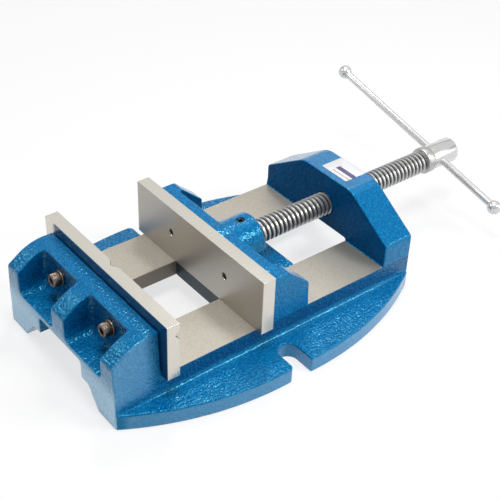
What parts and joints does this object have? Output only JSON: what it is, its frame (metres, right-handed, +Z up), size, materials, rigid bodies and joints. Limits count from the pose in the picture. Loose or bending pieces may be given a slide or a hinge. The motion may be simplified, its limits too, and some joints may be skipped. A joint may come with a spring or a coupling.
{
  "type": "drill press vise",
  "caption": "Drill press vise: cast winged base with clamp slots, fixed and screw-driven moving jaw with bolted steel plates, trapezoidal spindle and sliding tommy bar.",
  "frame": {"origin": "on the underside of the base, midway between the two clamp slots", "axes": "+X along the spindle from the fixed jaw to the handle, +Y to the far side, +Z up from the table"},
  "size_m": [0.3713, 0.2213, 0.0792],
  "materials": {
    "blue_enamel": "blue hammered enamel on cast iron",
    "ground_steel": "fine ground",
    "dark_steel": "blackened, oiled",
    "bright_steel": "turned, bright",
    "label": "plain white sticker"
  },
  "bodies": {
    "bed": {"base": "blue_enamel", "fixed_jaw_plate": "ground_steel", "fixed_jaw_screw_near": "dark_steel", "fixed_jaw_screw_far": "dark_steel", "fixed_jaw_washer_near": "dark_steel", "fixed_jaw_washer_far": "dark_steel", "bridge_label": "label"},
    "jaw": {"moving_jaw": "blue_enamel", "moving_jaw_plate": "ground_steel", "moving_jaw_screw_near": "dark_steel", "moving_jaw_screw_far": "dark_steel", "moving_jaw_washer_near": "dark_steel", "moving_jaw_washer_far": "dark_steel", "boss_grub_screw": "dark_steel", "keeper_plate": "ground_steel", "keeper_screw_front": "dark_steel", "keeper_screw_rear": "dark_steel"},
    "spindle": {"spindle": "bright_steel"},
    "handle": {"tommy_bar": "bright_steel", "bar_ball_near": "bright_steel", "bar_ball_far": "bright_steel"}
  },
  "joints": [
    {"name": "jaw_slide", "type": "slide", "parent": "bed", "child": "jaw", "axis": [1, 0, 0], "range_m": [-0.067, 0.07]},
    {"name": "spindle_turn", "type": "hinge", "parent": "jaw", "child": "spindle", "pos_m": [0.0323, 0, 0.047], "axis": [1, 0, 0], "range_deg": [-6031, 6301]},
    {"name": "bar_slide", "type": "slide", "parent": "spindle", "child": "handle", "axis": [0, 0.9744, 0.225], "range_m": [-0.1026, 0.0532]}
  ],
  "couplings": [
    {"joint": "spindle_turn", "follows": "jaw_slide", "rad_per_m": 1570.8}
  ]
}
